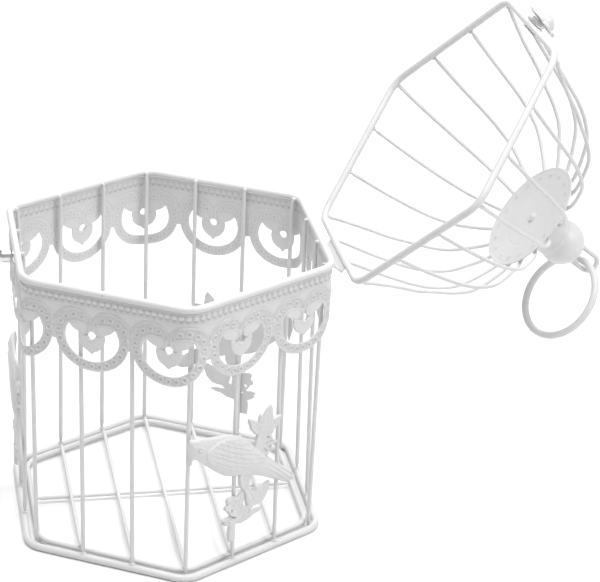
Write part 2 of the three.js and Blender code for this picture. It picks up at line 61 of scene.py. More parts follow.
# Sizes in millimetres. An apothem is the distance from the axis to the middle of a hexagon's side.
GAP = 0.3
RIM = 2.6  # radius of the rims' wire
BASE_WIRE = 2.0
BAR_WIRE = 1.5
THIN_WIRE = 1.4  # ribs and floor wires
TOP_Z = 212.0
LID_Z = TOP_Z + 2 * RIM + GAP
BASE_RING_Z = 3.6
BEND = 18.0  # radius of the hexagons' corners
BOTTOM_RIM = 105.5  # apothems of the four hexagons
BASE_RING = 97.8
TOP_RIM = 107.5
LID_RIM = 105
BAR_SIDE = 19.6  # a wall's bars stand this far from its middle
ORNAMENT_OUT = 106.5
FLOOR_PITCH = 34.7
DISC_SHIFT = 1.8  # the crown of the lid sits a little towards the hinge
BALL_SHIFT = 2.6
DISC_TOP = LID_Z + 102.1
BALL_Z = LID_Z + 132.6
BALL_RADIUS = 16.8


# ------------------------------------------------------------------ materials
def node_tree(name):
    """A new material with its node tree and its shader."""
    material = bpy.data.materials.new(name)
    material.use_nodes = True
    tree = material.node_tree
    return material, tree, tree.nodes["Principled BSDF"]


def noise_node(tree, coordinate, scale, detail=2.0):
    """Noise over a coordinate."""
    node = tree.nodes.new("ShaderNodeTexNoise")
    node.inputs["Scale"].default_value = scale
    node.inputs["Detail"].default_value = detail
    tree.links.new(coordinate, node.inputs["Vector"])
    return node.outputs["Fac"]


def ramp(tree, source, low, high, low_color, high_color):
    """A value turned into a colour between two colours."""
    node = tree.nodes.new("ShaderNodeValToRGB")
    node.color_ramp.elements[0].position = low
    node.color_ramp.elements[1].position = high
    node.color_ramp.elements[0].color = (*low_color, 1)
    node.color_ramp.elements[1].color = (*high_color, 1)
    tree.links.new(source, node.inputs["Fac"])
    return node.outputs["Color"]


def multiply(tree, first, second):
    """Two colours multiplied."""
    node = tree.nodes.new("ShaderNodeMix")
    node.data_type = "RGBA"
    node.blend_type = "MULTIPLY"
    node.inputs["Factor"].default_value = 1
    tree.links.new(first, node.inputs["A"])
    tree.links.new(second, node.inputs["B"])
    return node.outputs["Result"]


def powder_coat(name, tone=0.64, peel=0.35, chips=0.755):
    """Satin white coat: faint cloudiness, orange peel, a few dark chips, and painted shade from the mesh's
    shade colours.
    """
    material, tree, shader = node_tree(name)
    place = tree.nodes.new("ShaderNodeNewGeometry").outputs["Position"]
    light, dull = (tone, tone, tone - 0.003), (tone - 0.025,) * 3
    cloud = ramp(tree, noise_node(tree, place, 45), 0.35, 0.7, dull, light)
    chip = ramp(tree, noise_node(tree, place, 260, 3), chips, chips + 0.02, (1, 1, 1), (0.34, 0.31, 0.28))
    # Painted shade: the mesh's shade colours darken the coat in the relief's hollows, under the pearls and in
    # the disc's dimples and slot.
    shade = tree.nodes.new("ShaderNodeVertexColor")
    shade.layer_name = "shade"
    color = multiply(tree, multiply(tree, cloud, chip), shade.outputs["Color"])
    tree.links.new(color, shader.inputs["Base Color"])
    gloss = ramp(tree, noise_node(tree, place, 120), 0.3, 0.7, (0.34,) * 3, (0.44,) * 3)
    tree.links.new(gloss, shader.inputs["Roughness"])
    bump = tree.nodes.new("ShaderNodeBump")
    bump.inputs["Strength"].default_value = peel
    bump.inputs["Distance"].default_value = 0.00012
    tree.links.new(noise_node(tree, place, 900, 3), bump.inputs["Height"])
    tree.links.new(bump.outputs["Normal"], shader.inputs["Normal"])
    return material


def plated(name, color):
    """Chrome plate: fine polishing scratches and a slight cloudiness."""
    material, tree, shader = node_tree(name)
    place = tree.nodes.new("ShaderNodeNewGeometry").outputs["Position"]
    shader.inputs["Metallic"].default_value = 1
    tint = ramp(tree, noise_node(tree, place, 90), 0.3, 0.7, tuple(0.86 * c for c in color), color)
    tree.links.new(tint, shader.inputs["Base Color"])
    gloss = ramp(tree, noise_node(tree, place, 400, 4), 0.3, 0.75, (0.1,) * 3, (0.26,) * 3)
    tree.links.new(gloss, shader.inputs["Roughness"])
    stretch = tree.nodes.new("ShaderNodeMapping")
    stretch.inputs["Scale"].default_value = (1, 1, 18)
    tree.links.new(place, stretch.inputs["Vector"])
    bump = tree.nodes.new("ShaderNodeBump")
    bump.inputs["Strength"].default_value = 0.12
    bump.inputs["Distance"].default_value = 0.00005
    tree.links.new(noise_node(tree, stretch.outputs["Vector"], 500, 4), bump.inputs["Height"])
    tree.links.new(bump.outputs["Normal"], shader.inputs["Normal"])
    return material


COAT = powder_coat("white_powder_coat")
CAST_COAT = powder_coat("white_coat_on_castings", tone=0.63, peel=0.5)
CHROME = plated("chrome_plate", (0.78, 0.79, 0.8))


# ------------------------------------------------------------------ mesh tools
def add_mesh(name, verts, faces, place, body, nodes, material, shade=None, sharp=40):
    """A mesh object from millimetre points, riding a body and standing for CAD nodes."""
    mesh = bpy.data.meshes.new(name)
    mesh.from_pydata([place @ Vector(v) for v in verts], [], faces)
    mesh.validate()
    mesh.shade_smooth()
    mesh.set_sharp_from_angle(angle=math.radians(sharp))
    # The shade colours are painted shade, multiplied into the coat's colour; without them every point is 1
    # and no shade is painted.
    color = mesh.color_attributes.new("shade", "FLOAT_COLOR", "POINT")
    tones = np.ones((len(mesh.vertices), 4), dtype=np.float32)
    if shade is not None:
        tones[:, :3] = np.asarray(shade, dtype=np.float32)[:, None]
    color.data.foreach_set("color", tones.ravel())
    obj = bpy.data.objects.new(name, mesh)
    bpy.context.collection.objects.link(obj)
    mesh.materials.append(material)
    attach(obj, body)
    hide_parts(*([nodes] if isinstance(nodes, str) else nodes))
    return obj


def sweep(points, radius, sides=20, closed=False, up=(0, 0, 1), bead=0.0):
    """A round wire along points. Open ends are domed, and bead thickens them as a weld does."""
    points = [Vector(p) for p in points]
    count = len(points)
    lengths = [0.0]
    for a, b in zip(points, points[1:]):
        lengths.append(lengths[-1] + (b - a).length)
    total = lengths[-1]
    verts, faces = [], []
    normal = None
    for i, point in enumerate(points):
        if closed:
            tangent = (points[(i + 1) % count] - points[i - 1]).normalized()
        else:
            tangent = (points[min(i + 1, count - 1)] - points[max(i - 1, 0)]).normalized()
        base = Vector(up) if normal is None else normal
        if abs(base.dot(tangent)) > 0.95:
            base = Vector((1, 0, 0))
        normal = (base - tangent * base.dot(tangent)).normalized()
        side = tangent.cross(normal)
        end = min(lengths[i], total - lengths[i])
        swell = bead * math.exp(-((end - 1.2) / 1.4) ** 2) if bead else 0
        for k in range(sides):
            angle = 2 * math.pi * k / sides
            lump = noise.noise(point * 0.12) * 0.012 + noise.noise(point * 0.9) * 0.006
            reach = radius * (1 + lump) + swell * (1 + 0.5 * noise.noise(point + side * k))
            if not closed and end < radius * 0.5:
                reach *= math.sqrt(max(0.05, 1 - (1 - end / (radius * 0.5)) ** 2 * 0.8))
            verts.append(point + (normal * math.cos(angle) + side * math.sin(angle)) * reach)
    rings = count if closed else count - 1
    for i in range(rings):
        j = (i + 1) % count
        for k in range(sides):
            n = (k + 1) % sides
            faces.append((i * sides + k, i * sides + n, j * sides + n, j * sides + k))
    if not closed:
        faces.append(tuple(reversed(range(sides))))
        faces.append(tuple(range((count - 1) * sides, count * sides)))
    return verts, faces


def joined(parts):
    """Several shapes as one list of points and faces."""
    verts, faces = [], []
    for part_verts, part_faces in parts:
        start = len(verts)
        verts.extend(part_verts)
        faces.extend(tuple(start + k for k in face) for face in part_faces)
    return verts, faces


def weld_bead(centre, reach, seed):
    """A small frozen puddle of weld, reach being its half sizes along X, Y and Z."""
    blob = bmesh.new()
    bmesh.ops.create_icosphere(blob, subdivisions=2, radius=1)
    verts = []
    for vert in blob.verts:
        swell = 1 + 0.28 * noise.noise(vert.co * 1.7 + Vector((seed, seed * 0.37, 0)))
        verts.append(Vector(centre) + Vector(c * r for c, r in zip(vert.co, reach)) * swell)
    faces = [tuple(v.index for v in face.verts) for face in blob.faces]
    blob.free()
    return verts, faces


def lathe(profile, segments=64, wobble=0.0):
    """Profile points (radius, height) turned about +Z; the first and last lie on the axis."""
    verts = [Vector((0, 0, profile[0][1]))]
    for radius, height in profile[1:-1]:
        for k in range(segments):
            angle = 2 * math.pi * k / segments
            way = Vector((math.cos(angle), math.sin(angle), 0))
            out = radius * (1 + wobble * noise.noise(way * 2 + Vector((0, 0, height * 0.1))))
            verts.append(way * out + Vector((0, 0, height)))
    verts.append(Vector((0, 0, profile[-1][1])))
    last = len(verts) - 1
    rings = len(profile) - 2
    faces = []
    for k in range(segments):
        n = (k + 1) % segments
        faces.append((0, 1 + n, 1 + k))
        for i in range(rings - 1):
            a, b = 1 + i * segments, 1 + (i + 1) * segments
            faces.append((a + k, a + n, b + n, b + k))
        top = 1 + (rings - 1) * segments
        faces.append((last, top + k, top + n))
    return verts, faces


def smooth_profile(points, step=1.0):
    """Extra points along a polyline, so that no span is longer than step."""
    dense = [points[0]]
    for (r0, z0), (r1, z1) in zip(points, points[1:]):
        parts = max(1, round(math.hypot(r1 - r0, z1 - z0) / step))
        dense += [(r0 + (r1 - r0) * i / parts, z0 + (z1 - z0) * i / parts) for i in range(1, parts + 1)]
    return dense


def spline(points, per_span=8):
    """Catmull-Rom points through the given ones."""
    points = [Vector(p) for p in points]
    ends = [points[0] * 2 - points[1], *points, points[-1] * 2 - points[-2]]
    out = []
    for i in range(1, len(ends) - 2):
        a, b, c, d = ends[i - 1:i + 3]
        for k in range(per_span):
            t = k / per_span
            out.append(0.5 * (2 * b + (c - a) * t + (2 * a - 5 * b + 4 * c - d) * t * t
                              + (3 * b - a - 3 * c + d) * t ** 3))
    out.append(points[-1])
    return out


# ------------------------------------------------------------------ hexagons
def corner_reach(apothem, bend=BEND):
    """Distance from the axis to the middle of a rounded hexagon's corner."""
    return (apothem - bend) / math.cos(math.pi / 6) + bend


def on_wall(wall, out, sideways, z):
    """A point at distance out from the axis, sideways of the middle of a wall."""
    angle = wall * math.pi / 3
    return Vector((out * math.cos(angle) - sideways * math.sin(angle),
                   out * math.sin(angle) + sideways * math.cos(angle), z))


def at_corner(corner, radius, z):
    """A point on the line from the axis to a corner."""
    angle = (corner + 0.5) * math.pi / 3
    return Vector((radius * math.cos(angle), radius * math.sin(angle), z))


def hexagon_points(apothem, z):
    """Points round a rounded hexagon, closer together in its corners."""
    points = []
    half = (apothem - BEND) * math.tan(math.pi / 6)
    for wall in range(6):
        points += [on_wall(wall, apothem, half * t, z) for t in np.linspace(-1, 1, 15)[:-1]]
        centre = at_corner(wall, (apothem - BEND) / math.cos(math.pi / 6), 0)
        for t in np.linspace(0, 1, 12)[:-1]:
            angle = (wall + t) * math.pi / 3
            points.append(centre + Vector((BEND * math.cos(angle), BEND * math.sin(angle), z)))
    return points


def along_hexagon(s, apothem):
    """For distances s from the -Y corner: x, y on a rounded hexagon and the outward direction."""
    half = (apothem - BEND) * math.tan(math.pi / 6)
    arc = BEND * math.pi / 3
    pitch = 2 * half + arc
    corner = np.floor((s + arc / 2) / pitch)
    local = s + arc / 2 - corner * pitch
    base = (corner + 4) * math.pi / 3
    turn = np.clip(local / arc, 0, 1) * (math.pi / 3)
    angle = base + turn
    middle = (apothem - BEND) / math.cos(math.pi / 6)
    x = middle * np.cos(base + math.pi / 6) + BEND * np.cos(angle)
    y = middle * np.sin(base + math.pi / 6) + BEND * np.sin(angle)
    straight = np.maximum(local - arc, 0)
    x = x - np.sin(angle) * straight
    y = y + np.cos(angle) * straight
    return x, y, np.cos(angle), np.sin(angle)


# ------------------------------------------------------------------ relief plates
def relief_plate(u, v, inside, front, back):
    """A closed plate over the grid u, v where inside is positive, between the back and front heights.

    Grid points next to the outline slide onto it, so the cut edges are smooth. Returns points, faces and the
    flat grid index of every point on the front and back.
    """
    step = abs(v[1, 0] - v[0, 0])
    gv, gu = np.gradient(inside, v[:, 0], u[0, :])
    steep = np.maximum(np.hypot(gu, gv), 1e-3)
    depth = inside / steep
    near = np.abs(depth) < 0.62 * step
    su = np.where(near, u - depth * gu / steep, u)
    sv = np.where(near, v - depth * gv / steep, v)
    keep = (depth > 0) | near
    solid = (depth > 0) & ~near
    rows, cols = u.shape
    index = np.arange(rows * cols).reshape(rows, cols)
    corners = np.stack([index[:-1, :-1], index[:-1, 1:], index[1:, 1:], index[1:, :-1]], axis=-1)
    corners = corners.reshape(-1, 4)
    kept = keep.ravel()[corners]
    firm = solid.ravel()[corners].any(axis=1)
    faces = [tuple(face) for face in corners[kept.all(axis=1) & firm]]
    for face, mask in zip(corners[(kept.sum(axis=1) == 3) & firm], kept[(kept.sum(axis=1) == 3) & firm]):
        faces.append(tuple(face[mask]))
    used = np.unique(np.concatenate([np.array(f) for f in faces]))
    slot_of = -np.ones(rows * cols, dtype=int)
    slot_of[used] = np.arange(len(used))
    count = len(used)
    faces = [tuple(int(slot_of[k]) for k in face) for face in faces]
    edges = {}
    for face in faces:
        for a, b in zip(face, face[1:] + face[:1]):
            edges[(a, b)] = edges.get((a, b), 0) + 1
    rim = [(a, b) for a, b in edges if (b, a) not in edges]
    all_faces = list(faces)
    all_faces += [tuple(count + k for k in reversed(face)) for face in faces]
    all_faces += [(b, a, count + a, count + b) for a, b in rim]
    flat_u, flat_v = su.ravel()[used], sv.ravel()[used]
    points_u = np.concatenate([flat_u, flat_u])
    points_v = np.concatenate([flat_v, flat_v])
    points_w = np.concatenate([front.ravel()[used], back.ravel()[used]])
    return points_u, points_v, points_w, all_faces, used


def ridge(distance, width, height):
    """A soft raised line where distance is nought."""
    return height * np.exp(-(distance / width) ** 2)


def dome(distance, radius, height):
    """A raised half ball round the place where distance is nought."""
    return height * np.sqrt(np.clip(1 - (distance / radius) ** 2, 0, 1))


# ------------------------------------------------------------------ filigree band
BAND_TOP = TOP_Z - RIM - GAP
BAND_INNER = 106.8
BAND_SHEET = 0.8
BAND_DEPTH = 56.9
BAND_GRID = 0.56
CELL = 56.04
# Scallops as start and width along the strip: six, the narrow one over the hinge, then five of the second
# length. What is left between the last and the first is the wide one at the catch.
NARROW_START, SECOND_START, SECOND_CELL = 180.94, 225.1, 56.23
CELLS = [(-155.3 + CELL * i, CELL) for i in range(6)]
CELLS.append((NARROW_START, SECOND_START - NARROW_START))
CELLS += [(SECOND_START + SECOND_CELL * i, SECOND_CELL) for i in range(5)]
STRIP_END = SECOND_START + 5 * SECOND_CELL

LOBE = (13.3, 24.0)  # middle of a scallop's upper lobe, across from its middle and down
# Pressed rings of half a scallop, from the middle of its top round to its lowest point.
RING_PLACES = [
    (7.6, 15.0), (13.6, 14.0), (19.0, 16.5), (23.0, 20.6), (24.2, 27.0), (23.5, 33.5), (20.6, 39.6),
    (16.4, 44.4), (11.0, 48.2), (5.6, 50.2), (0.0, 50.9),
]
PEARL_PITCH = 4.75
SEED_PITCH = 2.1


def scallop(u, v, s):
    """Outline, relief and painted shadow of one scallop: u across from its middle, v down, s along the whole
    strip.
    """
    low = v - 1.1  # the scallops hang a little below the rows along the top
    across = np.abs(u)
    outer = np.maximum((1 - np.hypot(u / 26.8, (low - 30) / 24.9)) * 24.5, 34.4 - low)
    bowl = (1 - np.hypot(u / 19.7, (low - 30) / 17.4)) * 17.5
    head = 1.0 - np.hypot(across / 17.2, (low - 19.0) / 8.6)
    petal_tip = np.minimum((42.2 - low) * 0.9 - across, low - 34)
    petal = np.maximum(9.4 - np.hypot(u, (low - 29.5) * 0.9), petal_tip)
    cut = np.minimum(np.minimum(bowl, -head * 10), np.minimum(-petal, low - 19.6))
    hole_way = np.hypot(u, low - 27.8)
    inside = np.minimum(np.minimum(outer, -cut), hole_way - 2.8)
    inside = np.minimum(inside, v + 0.01)

    pearl_way = ((s / PEARL_PITCH) % 1 - 0.5) * PEARL_PITCH
    relief = dome(np.hypot(pearl_way, v - 3.6), 2.15, 1.15)
    shadow = np.hypot(pearl_way * 0.8, (v - 6.3) * 1.3)
    seed = np.hypot(((s / SEED_PITCH) % 1 - 0.5) * SEED_PITCH, v - 8.0)
    relief += dome(seed, 0.8, 0.45)
    relief += ridge(v - 9.2, 0.4, 0.45) + ridge(v - 6.7, 0.35, 0.25) + ridge(v - 0.9, 0.4, 0.3)
    in_field = (v > 9.6) * 1.0

    lobe_way = np.hypot(across - LOBE[0], low - LOBE[1])
    border = (np.hypot(u / 23.9, (low - 29) / 21.6) - 1) * 22.5
    path = np.where(low < LOBE[1], lobe_way - 10.0, border)
    rings = np.full(u.shape, 99.0)
    for place_u, place_low in RING_PLACES:
        rings = np.minimum(rings, np.hypot(across - place_u, low - place_low))
    relief += ridge(rings - 1.7, 0.55, 0.9) * in_field
    outline = ridge(path - 4.3, 0.45, 0.95) + ridge(path - 3.1, 0.4, 0.5)
    inner = ridge(path + 2.9, 0.45, 0.5) + ridge(path - 3.0, 0.45, 0.5)
    relief += np.where(low < LOBE[1], outline, inner) * in_field
    relief += ridge(across - 1.5, 0.45, 0.8) * (low > 18) * (low < 25.5)

    leaf = np.hypot((across - 10.5) / 8.6, (low - 23.4) / 5.2)
    relief += (ridge((leaf - 1) * 6, 0.45, 0.7) + dome(leaf, 1, 0.6)) * (low > 18) * (low < 29.5)
    relief += ridge(hole_way - 3.4, 0.45, 0.4)
    relief += dome(np.hypot(u, low - 32.5), 9.6, 1.2) * (petal > 0) * (low > 28.5)
    # Painted shadow: the tone is darker in a patch under each pearl.
    tone = 1 - 0.36 * np.exp(-(shadow / 1.1) ** 2)
    return inside, relief, tone


def build_band():
    """The stamped sheet that hangs under the top rim."""
    half = (BAND_INNER - BEND) * math.tan(math.pi / 6)
    perimeter = 6 * (2 * half + BEND * math.pi / 3)
    cells = CELLS + [(STRIP_END, CELLS[0][0] + perimeter - STRIP_END)]
    columns = round(perimeter / BAND_GRID)
    s_line = CELLS[0][0] + np.arange(columns + 1) * perimeter / columns
    v_line = np.arange(0, BAND_DEPTH, BAND_GRID)
    s, v = np.meshgrid(s_line, v_line)
    inside = np.full(s.shape, -1.0)
    relief = np.zeros(s.shape)
    tone = np.ones(s.shape)
    for start, width in cells:
        mask = (s_line >= start - 1e-6) & (s_line <= start + width + 1e-6)
        u = (s[:, mask] - start - width / 2) * CELL / width
        f, h, t = scallop(u, v[:, mask], s[:, mask])
        inside[:, mask], relief[:, mask], tone[:, mask] = f, h, t
    for start, width in (cells[6], cells[12]):  # the two lengths overlap here
        seam = start + width / 2
        relief += np.where((s > seam) & (s < seam + 7), 0.35, 0) * (v < 34)
    # Painted shade: hollows of the relief are drawn a little darker than its tops.
    around = sum(np.roll(relief, (i, j), (0, 1)) for i in (-2, 0, 2) for j in (-2, 0, 2)) / 9
    tone *= 1 - 0.45 * np.clip(around - relief, 0, 0.45)
    thin = np.clip(inside / 0.5, 0, 1)
    front = BAND_SHEET + relief - 0.25 * (1 - thin) ** 2
    back = 0.15 * relief * (relief > 0) + 0.15 * (1 - thin) ** 2
    ps, pv, pw, faces, used = relief_plate(s, v, inside, front, back)
    x, y, nx, ny = along_hexagon(ps, BAND_INNER)
    verts = np.stack([x + nx * pw, y + ny * pw, BAND_TOP - pv], axis=1)
    # The painted shade and painted pearl shadows go to the mesh's shade colours.
    shade = np.concatenate([tone.ravel()[used]] * 2)
    # The strip's two ends meet: their points are welded.
    band = add_mesh("filigree_sheet", verts, faces, to_row, "cage", "filigree_band", COAT, shade=shade,
                    sharp=55)
    work = bmesh.new()
    work.from_mesh(band.data)
    bmesh.ops.remove_doubles(work, verts=work.verts, dist=2e-6)
    bmesh.ops.recalc_face_normals(work, faces=work.faces)
    work.to_mesh(band.data)
    work.free()


# ------------------------------------------------------------------ frame wires
def build_wires():
    """Rims, bars and floor wires."""
    for name, apothem, wire, z in (("bottom_rim", BOTTOM_RIM, RIM, RIM),
                                   ("base_ring", BASE_RING, BASE_WIRE, BASE_RING_Z),
                                   ("top_rim", TOP_RIM, RIM, TOP_Z)):
        verts, faces = sweep(hexagon_points(apothem, z), wire, closed=True)
        add_mesh(name + "_wire", verts, faces, to_row, "cage", name, COAT)
    verts, faces = sweep(hexagon_points(LID_RIM, LID_Z), RIM, closed=True)
    add_mesh("lid_rim_wire", verts, faces, open_lid, "lid", "lid_rim", COAT)

    count = 0
    bar_top, bar_steps = 213, 40
    for wall in range(6):
        # The hinge wall's bars stand a little further out, and the fourth wall's bars lean.
        foot_out = 105.5 if wall == 0 else 104.8
        lean = ((1.2, -1.7), (-0.5, -2.9)) if wall == 4 else ((0, 0), (0, 0))
        bars = []
        for side, (foot_lean, top_lean) in zip((-BAR_SIDE, BAR_SIDE), lean):
            foot = on_wall(wall, foot_out, side + foot_lean, 5.5)
            bars.append((foot, on_wall(wall, 103.1, side + top_lean, bar_top)))
        foot = at_corner(wall, corner_reach(BOTTOM_RIM) - 4.4, 1.2)
        bars.append((foot, at_corner(wall, corner_reach(TOP_RIM) - 4.4, bar_top)))
        for foot, top in bars:
            count += 1
            line = [foot.lerp(top, i / bar_steps) for i in range(bar_steps + 1)]
            out = Vector((foot.x, foot.y, 0)).normalized()
            parts = [sweep(line, BAR_WIRE, up=out, bead=0.25)]
            if foot.z < 5:
                parts.append(weld_bead(foot + out * 1.6 + Vector((0, 0, 1.6)), (1.5, 1.5, 1.7), count))
            else:
                parts.append(weld_bead(foot - Vector((0, 0, 0.1)), (2.1, 2.1, 0.9), count + 80))
            parts.append(weld_bead(top + out * 1.6 - Vector((0, 0, 1.2)), (1.6, 1.6, 1.8), count + 40))
            verts, faces = joined(parts)
            add_mesh(f"bar_wire_{count:02d}", verts, faces, to_row, "cage", f"bar_{count:02d}", COAT)

    z = BASE_RING_Z + BASE_WIRE + GAP + THIN_WIRE
    for i, step in enumerate(range(-2, 3)):
        x = step * FLOOR_PITCH
        corner = BASE_RING / math.cos(math.pi / 6) - abs(x) * math.tan(math.pi / 6)
        reach = min(corner, corner_reach(BASE_RING)) + 1
        line = [Vector((x, reach * t, z - 0.25 * (1 - t * t))) for t in np.linspace(-1, 1, 40)]
        parts = [sweep(line, THIN_WIRE, bead=0.2)]
        for side in (-1, 1):
            parts.append(weld_bead((x, side * (reach - 1), z - 1.5), (1.8, 1.6, 1.1), i * 3 + side))
        verts, faces = joined(parts)
        add_mesh(f"floor_rod_{i + 1}", verts, faces, to_row, "cage", f"floor_wire_{i + 1}", COAT)
    line = [Vector((x, 0, z - 3.1)) for x in np.linspace(-95, 95, 40)]
    parts = [sweep(line, THIN_WIRE, bead=0.2)]
    parts += [weld_bead((i * FLOOR_PITCH, 0, z - 1.5), (1.5, 1.5, 0.9), i + 7) for i in range(-2, 3)]
    verts, faces = joined(parts)
    add_mesh("floor_cross_rod", verts, faces, to_row, "cage", "floor_cross_wire", COAT)


# ------------------------------------------------------------------ bird on a leafy branch
# The bird's outline on the wall: along it from its middle, and up from the floor.
BIRD = [
    (-52.6, 113.4), (-42.4, 111.3), (-27.6, 108.4), (-20, 105.2), (-12.3, 99.6), (-1.3, 88.2), (9.9, 78.2),
    (17.9, 70.7), (27.6, 63.2), (34.3, 55.6), (33.2, 53), (26.6, 52.6), (13.8, 59.3), (1.2, 66.3),
    (-11.2, 71.3), (-26.4, 75.2), (-35.5, 80.3), (-47.6, 90.4), (-56.6, 98.3), (-59.2, 93.2), (-61, 99.6),
    (-62.3, 106), (-61.7, 111.2), (-59.8, 113.6),
]
# Leaves: base and tip on the wall, and the half width.
LEAVES = [
    ((-1, 82), (3, 108), 4.5), ((2, 99), (-11, 115.5), 3.4), ((3, 99), (0, 116.5), 3.2),
    ((3, 98), (9.5, 121.5), 4.8), ((2, 99), (20, 109.5), 4.2), ((1, 98), (13.5, 98), 1.7),
    ((1, 94.5), (13.5, 92.3), 1.7), ((0, 90), (17, 89.3), 1.8), ((0, 87.5), (9.5, 80.5), 1.7),
    ((3, 90), (14, 81.5), 1.6), ((-13, 78), (-12, 57), 4.8), ((-5, 44), (11, 60), 5),
    ((-5, 43), (-10, 61.5), 3.8), ((-15, 40.5), (-27.5, 58.5), 6), ((-18, 48), (-15, 60), 3.5),
    ((-21, 37), (-33, 42), 2.6), ((-21, 36), (-32.5, 38.6), 2), ((-22, 36), (0, 39), 3.2),
    ((-8, 38.5), (4.8, 39), 1.6), ((-22, 37.5), (1, 48.5), 2.6),
]
# Buds beside the spray: their middles on the wall and their radii.
BUDS = [(-26.4, 55.6, 2.7), (-28.2, 50.2, 2.4), (9, 96, 1.8), (11, 85.6, 1.7)]
BRANCH = [(-12, 60), (-9.8, 54), (-7, 47), (-13, 42), (-22, 37)]


def polygon_depth(x, y, points):
    """Signed distance to a polygon's outline, positive inside."""
    nearest = np.full(x.shape, 1e9)
    crossings = np.zeros(x.shape, dtype=int)
    for (x0, y0), (x1, y1) in zip(points, points[1:] + points[:1]):
        dx, dy = x1 - x0, y1 - y0
        nearest = np.minimum(nearest, segment_way(x, y, (x0, y0), (x1, y1)))
        crosses = (y0 > y) != (y1 > y)
        crossings += crosses & (x < x0 + (y - y0) * dx / (dy if dy else 1e-9))
    return np.where(crossings % 2 == 1, nearest, -nearest)


def leaf_fields(x, y, base, tip, half):
    """Signed depth, place along 0..1 and place across in millimetres of one leaf."""
    ax, ay = tip[0] - base[0], tip[1] - base[1]
    length = math.hypot(ax, ay)
    ax, ay = ax / length, ay / length
    along = (x - base[0]) * ax + (y - base[1]) * ay
    across = -(x - base[0]) * ay + (y - base[1]) * ax
    t = np.clip(along / length, 0, 1)
    width = half * 1.25 * np.sin(np.pi * t ** 0.8) ** 0.8
    beyond = -np.hypot(across, along - np.clip(along, 0, length))
    depth = np.where((along > 0) & (along < length), width - np.abs(across), beyond)
    return depth, t, across


def segment_way(x, y, start, end):
    """Distance to a straight piece from start to end."""
    dx, dy = end[0] - start[0], end[1] - start[1]
    t = np.clip(((x - start[0]) * dx + (y - start[1]) * dy) / (dx * dx + dy * dy), 0, 1)
    return np.hypot(x - start[0] - t * dx, y - start[1] - t * dy)


def flat_spline(points, per_span):
    """A smooth line through points on the wall."""
    return [(p.x, p.y) for p in spline([(a, b, 0) for a, b in points], per_span)]


